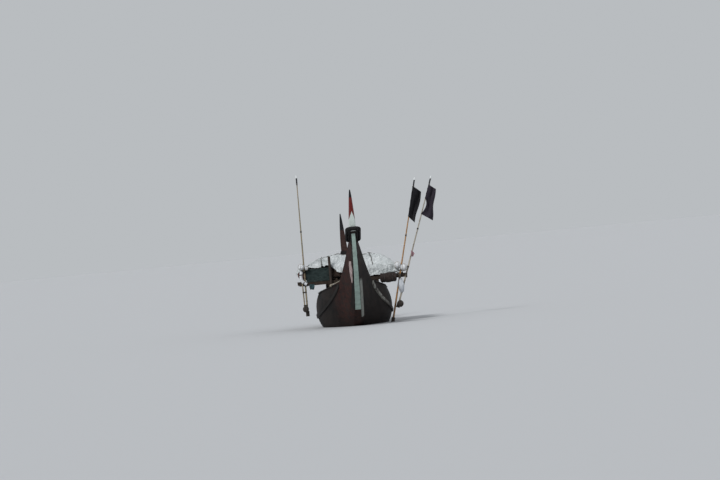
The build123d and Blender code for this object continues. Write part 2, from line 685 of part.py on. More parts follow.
BEAM_FRONT_Y = BEAM_YS[0] - BEAM_WIDTH / 2
with BuildPart() as board:
    with Locations(((BOARD_XS[0] + BOARD_XS[1]) / 2, BEAM_YS[0] - 35, BEAM_TOP_Z + SEAT + BOARD_HEIGHT / 2)):
        Box(BOARD_XS[1] - BOARD_XS[0], BOARD_THICK, BOARD_HEIGHT)
finished(board.part, "front_board")
with BuildPart() as bitt:
    with BuildSketch(Plane.XY.offset(DECK_Z + DECK_THICK + SEAT)):
        with Locations((BITT_X, BEAM_FRONT_Y - BITT_RADIUS - SEAT)):
            Circle(BITT_RADIUS)
    extrude(amount=BITT_TOP_Z - DECK_Z - DECK_THICK)
finished(bitt.part, "bitt_post")

# Ring hung on the bow horn
tilt = math.radians(RING_TILT)
RING_PLANE = Plane(origin=(0, *RING_CENTRE), x_dir=(1, 0, 0), z_dir=(0, math.sin(tilt), math.cos(tilt)))
with BuildSketch(RING_PLANE) as ring_outline:
    RectangleRounded(2 * RING_HALF_WIDTH, 2 * RING_HALF_LENGTH, RING_CORNER)
ring_path = ring_outline.sketch.wire()
with BuildPart() as ring:
    with BuildSketch(Plane(origin=ring_path @ 0, z_dir=ring_path % 0)):
        Circle(RING_RADIUS)
    sweep(path=ring_path)
finished(ring.part, "bow_ring")


# Marker poles with their lamps, weights and floats
def pole_radius(row, z):
    """Radius of a pole at a height."""
    name, (x0, z0), (x1, z1) = row
    return POLE_RADII[0] + (POLE_RADII[1] - POLE_RADII[0]) * (z - z0) / (z1 - z0)


def pole_y(row):
    """A pole stands against the front of the fore crossbeam."""
    return BEAM_FRONT_Y - pole_radius(row, BEAM_BOTTOM_Z) - SEAT


def pole_plane(row):
    """Plane across a pole's foot, facing its tip."""
    name, (x0, z0), (x1, z1) = row
    return Plane(origin=(x0, pole_y(row), z0), x_dir=(0, 1, 0), z_dir=(x1 - x0, 0, z1 - z0))


def pole_length(row):
    name, (x0, z0), (x1, z1) = row
    return math.hypot(x1 - x0, z1 - z0)


def tapered_pole(row, more):
    """A pole, or with more than nothing added to its radius a cutter for what is sewn round it."""
    with BuildPart() as pole:
        with BuildSketch(pole_plane(row)):
            Circle(POLE_RADII[0] + more)
        with BuildSketch(pole_plane(row).offset(pole_length(row))):
            Circle(POLE_RADII[1] + more)
        loft()
    return pole.part


def in_front_of_pole(row, x, z, radius):
    """Y of a ball that rests against the front of a pole."""
    name, (x0, z0), (x1, z1) = row
    beside = (x - x0) * (z1 - z0) / pole_length(row) - (z - z0) * (x1 - x0) / pole_length(row)
    reach = radius + pole_radius(row, z) + SEAT
    return pole_y(row) - math.sqrt(reach**2 - beside**2)


with BuildPart() as poles:
    for row in POLES:
        add(tapered_pole(row, 0))
finished(poles.part, "marker_poles")
with BuildPart() as lamps:
    for row in POLES:
        with BuildSketch(pole_plane(row).offset(pole_length(row) + SEAT)):
            Circle(LAMP_RADIUS)
        extrude(amount=LAMP_HEIGHT)
finished(lamps.part, "marker_lamps")
with BuildPart() as weights:
    for row in POLES:
        with BuildSketch(pole_plane(row).offset(-SEAT)):
            Circle(WEIGHT_RADIUS)
        extrude(amount=-WEIGHT_HEIGHT)
finished(weights.part, "marker_weights")
with BuildPart() as floats:
    for pole, x, z, radius in FLOATS:
        with Locations((x, in_front_of_pole(POLES[pole], x, z, radius), z)):
            Sphere(radius)
finished(floats.part, "marker_floats")
pole, bag_x, bag_z, bag_radius, bag_half = BAG
bag_y = in_front_of_pole(POLES[pole], bag_x, bag_z - bag_half + bag_radius, bag_radius)
with BuildPart() as bag:
    with Locations((bag_x, bag_y, bag_z)):
        Cylinder(bag_radius, 2 * (bag_half - bag_radius))
    with Locations(*[(bag_x, bag_y, bag_z + sign * (bag_half - bag_radius)) for sign in (-1, 1)]):
        Sphere(bag_radius)
finished(bag.part, "float_bag")

for name, pole, outline in FLAGS:
    with BuildPart() as flag:
        with BuildSketch(Plane(origin=(0, pole_y(POLES[pole]), 0), x_dir=(1, 0, 0), z_dir=(0, -1, 0))):
            with BuildLine():
                Polyline(*outline, close=True)
            make_face()
        extrude(amount=FLAG_THICK / 2, both=True)
        add(tapered_pole(POLES[pole], SEAT), mode=Mode.SUBTRACT)
    finished(flag.part, name)
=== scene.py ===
"""High prowed wooden fishing boat: materials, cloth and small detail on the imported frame.

Metres. +Z is up, z = 0 is the waterline and the floor, the bow points to -Y and +X is port.
"""
import math

import bpy
from mathutils import Matrix, Vector, noise
from mathutils.bvhtree import BVHTree


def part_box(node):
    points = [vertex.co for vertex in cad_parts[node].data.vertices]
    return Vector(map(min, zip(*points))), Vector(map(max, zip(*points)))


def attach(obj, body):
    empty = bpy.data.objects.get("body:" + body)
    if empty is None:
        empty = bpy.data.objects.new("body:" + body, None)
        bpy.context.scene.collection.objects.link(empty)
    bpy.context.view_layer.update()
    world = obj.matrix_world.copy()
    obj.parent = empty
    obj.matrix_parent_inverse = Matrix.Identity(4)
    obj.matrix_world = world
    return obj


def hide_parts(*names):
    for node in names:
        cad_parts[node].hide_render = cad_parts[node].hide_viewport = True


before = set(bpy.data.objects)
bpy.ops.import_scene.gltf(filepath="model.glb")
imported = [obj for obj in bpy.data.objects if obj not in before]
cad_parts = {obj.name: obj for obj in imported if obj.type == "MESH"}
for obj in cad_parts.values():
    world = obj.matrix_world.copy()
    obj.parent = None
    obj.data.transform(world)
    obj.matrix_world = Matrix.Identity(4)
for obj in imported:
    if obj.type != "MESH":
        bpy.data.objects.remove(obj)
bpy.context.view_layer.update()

# Camera: far ahead of the bow, with a long lens
CAMERA_DISTANCE = 114.0
CAMERA_HEIGHT = 2.75
VIEW_YAW = 1.9             # degrees that the boat is turned from the line of sight
BOAT_ROLL = 5.4            # degrees that the boat leans to starboard in the picture
AIM = (0.39, 2.71)         # how far right of the origin and above it the camera looks
METRES_ACROSS = 23.04      # width of the view near the fore crossbeam
AHEAD = 2.0                # how far ahead of the origin that width is taken
SENSOR = 36.0

# Colours
TAR = (0.0085, 0.0080, 0.0080)
TAR_WORN = (0.026, 0.020, 0.018)
RED_TAR = (0.055, 0.018, 0.014)
HEAD_RED = (0.135, 0.018, 0.016)
HEAD_WHITE = (0.60, 0.66, 0.62)
HEAD_BLACK = (0.010, 0.010, 0.012)
STEM_GREEN = (0.36, 0.47, 0.42)
BAND_GREY = (0.24, 0.25, 0.23)
WALE_PALE = (0.50, 0.50, 0.45)
BARE_WOOD = (0.020, 0.014, 0.011)
TARP_WHITE = (0.70, 0.73, 0.73)
NET_RED = (0.17, 0.065, 0.045)
NET_BROWN = (0.040, 0.024, 0.019)
BOARD_GREEN = (0.008, 0.015, 0.015)

# Painted bow head: top of the white point, its spread per metre down and its foot; then the top of the red
# and the top of the stripe
WHITE_TOP = 3.62
WHITE_SPREAD = 0.38
WHITE_FOOT = 3.00
RED_TOP = 4.05
STRIPE_TOP = 2.93

# Tarpaulin: where its flat sheet starts to fall, how far it is turned in degrees, the size it is cut to
TARP_CENTRE = (0.00, 0.13, 2.42)
TARP_TURN = -6.0
TARP_FLAT = (3.46, 3.86)

# Heap under it: swells as (x, spread, rise), where its port end is drawn in and to what share, its height
HEAP_SWELLS = ((-0.66, 0.30, 0.080), (0.35, 0.45, -0.045), (-1.16, 0.24, 0.110))
HEAP_END_X = 1.0
HEAP_END_SHARE = 0.72
HEAP_HEIGHT = 0.65

# Marker poles, as packed: name, foot (x, z), tip (x, z)
POLES = (
    ("starboard", (-1.560, 0.600), (-1.520, 4.710)),
    ("inner", (1.170, 0.139), (2.206, 4.300)),
    ("outer", (1.393, 0.600), (2.714, 4.310)),
)
POLE_Y = -1.6325
BEAM_FRONT_Y = -1.605
BETWEEN_POLES = (0.3025, 1.1575)   # x per metre up, and x at z = 0, of the line midway between the port poles
JOINTS_PER_METRE = 2.7
LAMP_CAP_Z = 4.875                 # foot of the starboard lamp's pale cap
PORT_LAMPS_LOWER = 0.405


# Shader helpers
def new_material(name):
    """Empty node material with its shader and a coordinate node."""
    material = bpy.data.materials.new(name)
    material.use_nodes = True
    tree = material.node_tree
    shader = tree.nodes["Principled BSDF"]
    coords = tree.nodes.new("ShaderNodeTexCoord").outputs["Object"]
    return material, tree, shader, coords


def node(tree, kind, inputs=(), **settings):
    made = tree.nodes.new(kind)
    for key, value in settings.items():
        setattr(made, key, value)
    for key, value in inputs:
        if isinstance(value, bpy.types.NodeSocket):
            tree.links.new(value, made.inputs[key])
        else:
            made.inputs[key].default_value = value
    return made


def stretched(tree, coords, scale):
    return node(tree, "ShaderNodeMapping", [("Vector", coords), ("Scale", scale)]).outputs["Vector"]


def noise_value(tree, coords, scale, detail=6.0, rough=0.6, distortion=0.0):
    made = node(
        tree, "ShaderNodeTexNoise",
        [
            ("Vector", coords), ("Scale", scale), ("Detail", detail),
            ("Roughness", rough), ("Distortion", distortion),
        ],
    )
    return made.outputs["Fac"]


def ramp(tree, value, low, high, low_colour=(0, 0, 0, 1), high_colour=(1, 1, 1, 1)):
    made = node(tree, "ShaderNodeValToRGB", [("Fac", value)])
    made.color_ramp.elements[0].position = low
    made.color_ramp.elements[0].color = low_colour
    made.color_ramp.elements[1].position = high
    made.color_ramp.elements[1].color = high_colour
    return made.outputs["Color"]


def mix(tree, factor, a, b, blend="MIX"):
    made = node(tree, "ShaderNodeMix", data_type="RGBA", blend_type=blend)
    for key, value in ((0, factor), (6, a), (7, b)):
        if isinstance(value, bpy.types.NodeSocket):
            tree.links.new(value, made.inputs[key])
        elif key == 0:
            made.inputs[key].default_value = value
        else:
            made.inputs[key].default_value = (*value[:3], 1.0)
    return made.outputs[2]


def maths(tree, operation, a, b=0.0, c=0.0):
    made = node(tree, "ShaderNodeMath", operation=operation)
    for key, value in enumerate((a, b, c)):
        if isinstance(value, bpy.types.NodeSocket):
            tree.links.new(value, made.inputs[key])
        else:
            made.inputs[key].default_value = value
    return made.outputs[0]


def add_bump(tree, shader, height, distance, strength=1.0):
    bump = node(tree, "ShaderNodeBump", [("Height", height), ("Distance", distance), ("Strength", strength)])
    tree.links.new(bump.outputs["Normal"], shader.inputs["Normal"])


def link(tree, value, shader, socket):
    tree.links.new(value, shader.inputs[socket])


def weathered(name, colour, worn, rough, grain, scale, bump=0.004, spots=0.5, gloss=0.2):
    """Paint or tar over wood: broad patches, fine grain and worn spots, fewer as spots rises."""
    material, tree, shader, coords = new_material(name)
    along = stretched(tree, coords, grain)
    patches = noise_value(tree, along, scale, 5.0, 0.55, 0.4)
    fine = noise_value(tree, along, scale * 14, 6.0, 0.65)
    tone = ramp(tree, patches, 0.35, 0.70)
    base = mix(tree, tone, colour, worn)
    flecks = ramp(tree, fine, spots, spots + 0.18)
    base = mix(tree, maths(tree, "MULTIPLY", flecks, 0.45), base, worn)
    link(tree, base, shader, "Base Color")
    roughness = maths(tree, "MULTIPLY_ADD", fine, rough[1] - rough[0], rough[0])
    link(tree, roughness, shader, "Roughness")
    shader.inputs["Specular IOR Level"].default_value = gloss
    add_bump(tree, shader, fine, bump)
    return material, tree, shader, coords, base


def split_coords(tree, coords):
    return node(tree, "ShaderNodeSeparateXYZ", [("Vector", coords)]).outputs


def use(material, *names):
    """Give a material to carried-over nodes."""
    for name in names:
        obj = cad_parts[name]
        obj.data.materials.clear()
        obj.data.materials.append(material)


# Camera
def make_camera():
    yaw = math.radians(VIEW_YAW)
    ahead = Vector((math.sin(yaw), math.cos(yaw), 0.0))
    right = Vector((math.cos(yaw), -math.sin(yaw), 0.0))
    place = -CAMERA_DISTANCE * ahead + Vector((0, 0, CAMERA_HEIGHT))
    target = AIM[0] * right + Vector((0, 0, AIM[1]))
    data = bpy.data.cameras.new("camera")
    camera = bpy.data.objects.new("camera", data)
    bpy.context.scene.collection.objects.link(camera)
    look = (target - place).to_track_quat("-Z", "Y").to_matrix().to_4x4()
    roll = Matrix.Rotation(math.radians(-BOAT_ROLL), 4, "Z")
    camera.matrix_world = Matrix.Translation(place) @ look @ roll
    data.sensor_width = SENSOR
    data.lens = SENSOR * (CAMERA_DISTANCE - AHEAD) / METRES_ACROSS
    data.clip_end = 2000.0
    bpy.context.scene.camera = camera


# Floor, world and lamps
def make_stage():
    mesh = bpy.data.meshes.new("floor")
    size = 900.0
    corners = [(-size, -size, 0), (size, -size, 0), (size, size, 0), (-size, size, 0)]
    mesh.from_pydata(corners, [], [(0, 1, 2, 3)])
    floor = bpy.data.objects.new("floor", mesh)
    bpy.context.scene.collection.objects.link(floor)
    material, _, shader, _ = new_material("floor")
    shader.inputs["Base Color"].default_value = (0.50, 0.51, 0.52, 1)
    shader.inputs["Roughness"].default_value = 0.9
    mesh.materials.append(material)
    world = bpy.data.worlds.new("world")
    bpy.context.scene.world = world
    world.use_nodes = True
    tree = world.node_tree
    background = tree.nodes["Background"]
    path = tree.nodes.new("ShaderNodeLightPath")
    seen = maths(tree, "MAXIMUM", path.outputs["Is Camera Ray"], path.outputs["Is Glossy Ray"])
    colour = mix(tree, seen, (0.40, 0.42, 0.45), (0.485, 0.507, 0.527))
    tree.links.new(colour, background.inputs["Color"])
    background.inputs["Strength"].default_value = 1.0
    # Name, direction of the lamp, strength, width in degrees
    lamps = (
        ("key", (-0.45, -0.62, 0.64), 2.1, 14.0),
        ("fill", (0.8, -0.5, 0.45), 0.3, 60.0),
        ("back", (0.2, 0.9, 0.6), 0.3, 60.0),
    )
    for name, direction, energy, spread in lamps:
        data = bpy.data.lights.new(name, "SUN")
        data.energy = energy
        data.angle = math.radians(spread)
        lamp = bpy.data.objects.new(name, data)
        lamp.matrix_world = Vector(direction).to_track_quat("Z", "Y").to_matrix().to_4x4()
        bpy.context.scene.collection.objects.link(lamp)
    bpy.context.scene.view_settings.view_transform = "Standard"


# Materials of the carried-over nodes
HULL_GRAIN = (3.0, 0.35, 1.2)

# Plain ones: what weathered takes, then the nodes that get the material
PLAIN_MATERIALS = (
    (
        "stained_wale", (0.020, 0.017, 0.015), TAR, (0.6, 0.9), HULL_GRAIN, 2.5, 0.004, 0.44,
        ["starboard_wale"],
    ),
    (
        "bare_wood", BARE_WOOD, (0.042, 0.030, 0.022), (0.7, 0.9), (6.0, 0.8, 6.0), 2.0, 0.003,
        [
            "frames", "deck_boards", "engine_hatch", "fore_deck", "aft_deck", "engine_bearers", "tiller",
            "platform_posts", "crossbeams", "rudder_trunk",
        ],
    ),
    (
        "dark_post", (0.022, 0.017, 0.015), (0.065, 0.046, 0.036), (0.5, 0.8), (4, 4, 0.6), 3.0, 0.003,
        ["bitt_post"],
    ),
    (
        "slat_poles", (0.070, 0.050, 0.033), (0.030, 0.022, 0.017), (0.5, 0.7), (9, 1, 9), 2.0, 0.002,
        ["platform_poles"],
    ),
    (
        "dull_steel", (0.30, 0.28, 0.27), (0.20, 0.09, 0.05), (0.4, 0.6), (4, 4, 4), 6.0, 0.001, 0.55,
        ["propeller_shaft", "stern_tube", "rudder_stock"],
    ),
    (
        "engine_paint", (0.05, 0.11, 0.08), (0.10, 0.07, 0.05), (0.4, 0.6), (5, 5, 5), 4.0, 0.001,
        ["engine"],
    ),
    (
        "stone", (0.070, 0.060, 0.052), (0.035, 0.029, 0.025), (0.8, 0.95), (5, 5, 5), 8.0, 0.006, 0.45,
        ["marker_weights"],
    ),
    (
        "ring_rubber", (0.007, 0.007, 0.008), (0.022, 0.020, 0.019), (0.7, 0.9), (3, 3, 3), 5.0,
        ["bow_ring"],
    ),
    (
        "float_foam", (0.72, 0.74, 0.77), (0.45, 0.46, 0.46), (0.6, 0.8), (5, 5, 5), 5.0, 0.004, 0.58,
        ["marker_floats"],
    ),
    (
        "green_board", BOARD_GREEN, (0.032, 0.048, 0.046), (0.6, 0.8), (3, 3, 6), 3.0, 0.002, 0.62,
        ["front_board"],
    ),
)


def make_plain_materials():
    for *look, names in PLAIN_MATERIALS:
        material, *_ = weathered(*look)
        use(material, *names)


def make_hull_materials():
    """Tar with a brown patch, a grey band and salt; on the port wale what is left of its paint."""
    tar, tree, shader, coords, base = weathered(
        "tarred_planks", TAR, TAR_WORN, (0.6, 0.9), HULL_GRAIN, 1.6, 0.006, 0.56, 0.12,
    )
    x, y, z = split_coords(tree, coords)
    ragged = noise_value(tree, coords, 7.0, 5.0, 0.7)
    brown = maths(tree, "MULTIPLY", inside(tree, x, -0.55, -0.02, 0.25), ramp(tree, ragged, 0.35, 0.65))
    brown = maths(tree, "MULTIPLY", brown, inside(tree, y, -9.0, -3.0, 1.2))
    base = mix(tree, maths(tree, "MULTIPLY", brown, 0.75), base, RED_TAR)
    base = mix(tree, side_band(tree, coords), base, BAND_GREY)
    salt = ramp(tree, noise_value(tree, coords, 38.0, 4.0, 0.8), 0.60, 0.72)
    low = maths(tree, "MULTIPLY", salt, maths(tree, "MULTIPLY", inside(tree, z, -0.4, 0.35, 0.6), 0.30))
    link(tree, mix(tree, low, base, (0.30, 0.27, 0.22)), shader, "Base Color")
    strakes = [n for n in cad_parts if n.endswith(("strake", "bulwark", "gunwale"))]
    use(tar, *strakes, "keel_plank", "stern_post", "skeg", "rudder_blade", "rudder_shoe")
    pale, tree, shader, coords, base = weathered(
        "worn_wale", WALE_PALE, (0.04, 0.032, 0.028), (0.6, 0.85), HULL_GRAIN, 2.5, 0.004, 0.44,
    )
    high = inside(tree, split_coords(tree, coords)[2], 0.82, 2.0, 0.30)
    left = maths(tree, "MULTIPLY", high, ramp(tree, noise_value(tree, coords, 5.0), 0.38, 0.56))
    link(tree, mix(tree, left, TAR_WORN, base), shader, "Base Color")
    use(pale, "port_wale")


def make_bronze_and_lamps():
    bronze, _, shader, *_ = weathered(
        "bronze", (0.45, 0.31, 0.13), (0.20, 0.20, 0.12), (0.3, 0.5), (5, 5, 5), 6.0, 0.001,
    )
    shader.inputs["Metallic"].default_value = 0.8
    use(bronze, "propeller")
    lamp, tree, shader, coords, base = weathered(
        "lamp", (0.010, 0.010, 0.013), (0.035, 0.035, 0.04), (0.35, 0.5), (5, 5, 5), 8.0, 0.001,
    )
    x, _, z = split_coords(tree, coords)
    port = maths(tree, "GREATER_THAN", x, 0.0)
    raised = maths(tree, "MULTIPLY_ADD", port, PORT_LAMPS_LOWER, z)
    cap = maths(tree, "GREATER_THAN", raised, LAMP_CAP_Z)
    link(tree, mix(tree, cap, base, (0.72, 0.74, 0.74)), shader, "Base Color")
    use(lamp, "marker_lamps")


def side_band(tree, coords):
    """Where the narrow grey band lies beside the stem, to port."""
    x, y, z = split_coords(tree, coords)
    ragged = noise_value(tree, coords, 7.0, 5.0, 0.7)
    band = maths(tree, "MULTIPLY", inside(tree, x, 0.104, 0.178, 0.010), inside(tree, z, 0.30, 1.42, 0.12))
    band = maths(tree, "MULTIPLY", band, inside(tree, y, -9.0, -3.2, 0.05))
    return maths(tree, "MULTIPLY", band, ramp(tree, ragged, 0.28, 0.46))


def inside(tree, value, low, high, soft):
    """1 between low and high, fading to 0 over the distance soft outside them."""
    rise = node(
        tree, "ShaderNodeMapRange",
        [("Value", value), ("From Min", low - soft), ("From Max", low), ("To Min", 0.0), ("To Max", 1.0)],
    ).outputs["Result"]
    fall = node(
        tree, "ShaderNodeMapRange",
        [("Value", value), ("From Min", high), ("From Max", high + soft), ("To Min", 1.0), ("To Max", 0.0)],
    ).outputs["Result"]
    return maths(tree, "MULTIPLY", rise, fall)


def make_bamboo():
    """Bamboo with dark joints: olive to starboard, orange on the inner port pole, pale on the outer."""
    material, tree, shader, coords = new_material("bamboo")
    x, _, z = split_coords(tree, coords)
    mottled = ramp(tree, noise_value(tree, stretched(tree, coords, (9, 9, 1.4)), 2.4, 6.0, 0.65), 0.36, 0.66)
    between = maths(tree, "MULTIPLY_ADD", z, *BETWEEN_POLES)
    outer = maths(tree, "GREATER_THAN", x, between)
    port = maths(tree, "GREATER_THAN", x, 0.0)
    starboard = mix(tree, mottled, (0.16, 0.15, 0.095), (0.30, 0.23, 0.15))
    inner = mix(tree, mottled, (0.22, 0.105, 0.03), (0.42, 0.22, 0.075))
    pale = mix(tree, mottled, (0.20, 0.175, 0.14), (0.42, 0.38, 0.31))
    tone = mix(tree, port, starboard, mix(tree, outer, inner, pale))
    along = maths(tree, "FRACT", maths(tree, "MULTIPLY", z, JOINTS_PER_METRE))
    joint = inside(tree, along, 0.47, 0.50, 0.05)
    tone = mix(tree, maths(tree, "MULTIPLY", joint, 0.6), tone, (0.07, 0.05, 0.035))
    link(tree, tone, shader, "Base Color")
    shader.inputs["Roughness"].default_value = 0.5
    add_bump(tree, shader, joint, 0.004)
    use(material, "marker_poles")


def stripe_mask(tree, coords, top):
    """Where the green stripe lies on the front of the stem: within its width, below top, facing forward."""
    x, _, z = split_coords(tree, coords)
    ragged = noise_value(tree, coords, 9.0, 5.0, 0.7)
    half = maths(tree, "MULTIPLY_ADD", z, -0.0145, 0.098)
    edge = maths(tree, "MULTIPLY_ADD", ragged, 0.03, -0.015)
    within = maths(tree, "LESS_THAN", maths(tree, "ADD", maths(tree, "ABSOLUTE", x), edge), half)
    above = maths(tree, "GREATER_THAN", z, maths(tree, "MULTIPLY_ADD", ragged, 0.5, 0.05))
    below = maths(tree, "LESS_THAN", z, top)
    normal = node(tree, "ShaderNodeNewGeometry").outputs["Normal"]
    front = maths(tree, "LESS_THAN", split_coords(tree, normal)[1], -0.25)
    upright = maths(tree, "MULTIPLY", above, below)
    return maths(tree, "MULTIPLY", maths(tree, "MULTIPLY", within, front), upright)


def make_stem_material():
    """Tar with a pale green face, worn away unevenly towards the water."""
    material, tree, shader, coords, base = weathered(
        "stem", TAR, TAR_WORN, (0.6, 0.9), HULL_GRAIN, 1.6, 0.006, 0.56, 0.12,
    )
    mask = stripe_mask(tree, coords, 9.0)
    patchy = ramp(tree, noise_value(tree, coords, 5.0, 6.0, 0.7), 0.30, 0.62)
    green = mix(tree, patchy, (0.24, 0.30, 0.27), STEM_GREEN)
    base = mix(tree, side_band(tree, coords), base, BAND_GREY)
    link(tree, mix(tree, mask, base, green), shader, "Base Color")
    use(material, "bow_stem")


def make_head_material():
    """Dark foot, a white point, a red band and a dark tip, all worn at their edges."""
    material, tree, shader, coords, base = weathered(
        "painted_head", TAR, TAR_WORN, (0.6, 0.85), (3, 3, 1), 2.5, 0.004, 0.56, 0.12,
    )
    x, _, z = split_coords(tree, coords)
    ragged = maths(tree, "MULTIPLY_ADD", noise_value(tree, coords, 7.0, 4.0, 0.6), 0.08, -0.04)
    height = maths(tree, "ADD", z, ragged)
    worn = ramp(tree, noise_value(tree, stretched(tree, coords, (3, 3, 1)), 6.0, 6.0, 0.7), 0.42, 0.75)
    white = mix(tree, maths(tree, "MULTIPLY", worn, 0.45), HEAD_WHITE, (0.40, 0.42, 0.41))
    red = mix(tree, maths(tree, "MULTIPLY", worn, 0.6), HEAD_RED, (0.14, 0.022, 0.02))
    green = mix(tree, maths(tree, "MULTIPLY", worn, 0.5), STEM_GREEN, (0.17, 0.20, 0.17))
    colour = mix(tree, stripe_mask(tree, coords, STRIPE_TOP), base, green)
    colour = mix(tree, maths(tree, "GREATER_THAN", height, WHITE_FOOT), colour, red)
    reach = maths(tree, "MULTIPLY", maths(tree, "SUBTRACT", WHITE_TOP, height), WHITE_SPREAD)
    pointed = maths(tree, "LESS_THAN", maths(tree, "ABSOLUTE", x), reach)
    pointed = maths(tree, "MULTIPLY", pointed, maths(tree, "GREATER_THAN", height, WHITE_FOOT))
    colour = mix(tree, pointed, colour, white)
    colour = mix(tree, maths(tree, "GREATER_THAN", height, RED_TOP), colour, HEAD_BLACK)
    link(tree, colour, shader, "Base Color")
    use(material, "bow_head")
    dark, tree, shader, coords, base = weathered(
        "stern_head", (0.020, 0.010, 0.009), (0.042, 0.023, 0.019), (0.6, 0.85), (3, 3, 1),
        2.5, 0.004, 0.54, 0.12,
    )
    tip = maths(tree, "GREATER_THAN", split_coords(tree, coords)[2], 3.10)
    link(tree, mix(tree, tip, base, HEAD_BLACK), shader, "Base Color")
    use(dark, "stern_head")


# Cloth, nets and ropes
def ride_on_hull(obj):
    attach(obj, "hull")
    return obj


def object_from(name, verts, faces, material):
    """Mesh object linked to the scene."""
    mesh = bpy.data.meshes.new(name)
    mesh.from_pydata([tuple(v) for v in verts], [], faces)
    mesh.validate()
    mesh.polygons.foreach_set("use_smooth", [True] * len(mesh.polygons))
    mesh.materials.append(material)
    obj = bpy.data.objects.new(name, mesh)
    bpy.context.scene.collection.objects.link(obj)
    return obj


def grid_faces(rows, columns, closed=False):
    """Quads of a grid of points; closed joins the last column to the first."""
    faces = []
    last = columns if closed else columns - 1
    for r in range(rows - 1):
        for c in range(last):
            d = (c + 1) % columns
            faces.append((r * columns + c, r * columns + d, (r + 1) * columns + d, (r + 1) * columns + c))
    return faces


def lumps(point, size, seed=0.0):
    """Smooth noise from -1 to 1 with lumps of about this size."""
    return noise.noise(Vector(point) / size + Vector((seed, seed * 1.7, -seed)))


def crumple(point, size, seed=0.0):
    """Sharp creases between flat facets, from 0 to 1."""
    return max(0.0, 1.0 - 2.6 * abs(lumps(point, size, seed)))


def baked(obj):
    """Apply every modifier and keep the result as the mesh."""
    graph = bpy.context.evaluated_depsgraph_get()
    mesh = bpy.data.meshes.new_from_object(obj.evaluated_get(graph), depsgraph=graph)
    obj.modifiers.clear()
    old = obj.data
    obj.data = mesh
    bpy.data.meshes.remove(old)
    obj.data.polygons.foreach_set("use_smooth", [True] * len(obj.data.polygons))
    return obj


def tube(name, points, radius, material, closed=False):
    """Rope, rod or tie: a round curve through or near the points."""
    curve = bpy.data.curves.new(name, "CURVE")
    curve.dimensions = "3D"
    curve.bevel_depth = radius
    curve.bevel_resolution = 3
    curve.use_fill_caps = True
    spline = curve.splines.new("NURBS")
    spline.points.add(len(points) - 1)
    for p, target in zip(points, spline.points):
        target.co = (*p, 1.0)
    spline.use_cyclic_u = closed
    spline.use_endpoint_u = not closed
    spline.order_u = 3
    curve.materials.append(material)
    obj = bpy.data.objects.new(name, curve)
    bpy.context.scene.collection.objects.link(obj)
    return ride_on_hull(obj)


def pushed_about(tree, coords, source, scale):
    """Coordinates moved by noise, so that what is drawn on them wanders."""
    wander = node(tree, "ShaderNodeTexNoise", [("Vector", source), ("Scale", scale), ("Detail", 4.0)])
    terms = [(0, coords), (1, wander.outputs["Color"])]
    return node(tree, "ShaderNodeVectorMath", terms, operation="ADD").outputs[0]


def net_material(name, colour, dark, mesh_scale=26.0):
    """Knotted netting: crossing fine strands, matted patches and folds."""
    material, tree, shader, coords = new_material(name)
    bent = node(
        tree, "ShaderNodeVectorMath",
        [(0, coords), (1, (0.3, 0.3, 0.3))], operation="MULTIPLY",
    ).outputs[0]
    moved = pushed_about(tree, coords, bent, 9.0)
    strands = None
    for direction in ((1.0, 1.0, 0.6), (1.0, -1.0, -0.6)):
        along = stretched(tree, moved, direction)
        wave = node(
            tree, "ShaderNodeTexWave", [("Vector", along), ("Scale", mesh_scale), ("Distortion", 3.0)],
            bands_direction="DIAGONAL",
        ).outputs["Fac"]
        thin = maths(tree, "POWER", wave, 5.0)
        strands = thin if strands is None else maths(tree, "MAXIMUM", strands, thin)
    matted = ramp(tree, noise_value(tree, coords, 3.2, 6.0, 0.65, 1.0), 0.34, 0.68)
    tone = mix(tree, matted, dark, colour)
    tone = mix(tree, maths(tree, "MULTIPLY", strands, 0.55), tone, tuple(min(1.0, c * 1.9) for c in colour))
    link(tree, tone, shader, "Base Color")
    shader.inputs["Roughness"].default_value = 0.92
    height = maths(tree, "MULTIPLY_ADD", matted, 1.2, strands)
    add_bump(tree, shader, height, 0.012)
    return material


def cloth_material(name, colour, soil_and_shade, weave, rough, sheen=0.0, patch=2.2, gloss=0.4, crumpled=False):
    """Woven cloth with soiled patches, painted shade along its fine creases, and a weave."""
    material, tree, shader, coords = new_material(name)
    soiled = ramp(tree, noise_value(tree, coords, patch, 6.0, 0.6, 0.6), 0.35, 0.75)
    creases = noise_value(tree, coords, 16.0, 5.0, 0.7, 1.5)
    tone = mix(tree, soiled, colour, soil_and_shade)
    # Painted shade along the fine creases, a quarter of the way to the second colour (a painted highlight on
    # the flags, whose second colour is lighter)
    tone = mix(tree, maths(tree, "MULTIPLY", ramp(tree, creases, 0.50, 0.72), 0.25), tone, soil_and_shade)
    height = maths(tree, "MULTIPLY", creases, 8.0)
    if crumpled:
        moved = pushed_about(tree, coords, coords, 3.0)
        facets = node(
            tree, "ShaderNodeTexVoronoi", [("Vector", moved), ("Scale", 4.6)], feature="DISTANCE_TO_EDGE",
        ).outputs["Distance"]
        # Painted shade: the crumpled sheet is darkened along the edges between its facets, just over half the
        # way to its second colour
        crease_shade = ramp(tree, facets, 0.0, 0.12, (1, 1, 1, 1), (0, 0, 0, 1))
        tone = mix(tree, maths(tree, "MULTIPLY", crease_shade, 0.55), tone, soil_and_shade)
        height = maths(tree, "MULTIPLY_ADD", facets, 34.0, height)
    link(tree, tone, shader, "Base Color")
    shader.inputs["Roughness"].default_value = rough
    shader.inputs["Sheen Weight"].default_value = sheen
    shader.inputs["Specular IOR Level"].default_value = gloss
    threads = None
    for direction in ((1.0, 0.0, 0.35), (0.0, 1.0, 0.35)):
        wave = node(
            tree, "ShaderNodeTexWave", [("Vector", stretched(tree, coords, direction)), ("Scale", weave)],
        ).outputs["Fac"]
        threads = wave if threads is None else maths(tree, "ADD", threads, wave)
    add_bump(tree, shader, maths(tree, "ADD", height, threads), 0.0015)
    return material


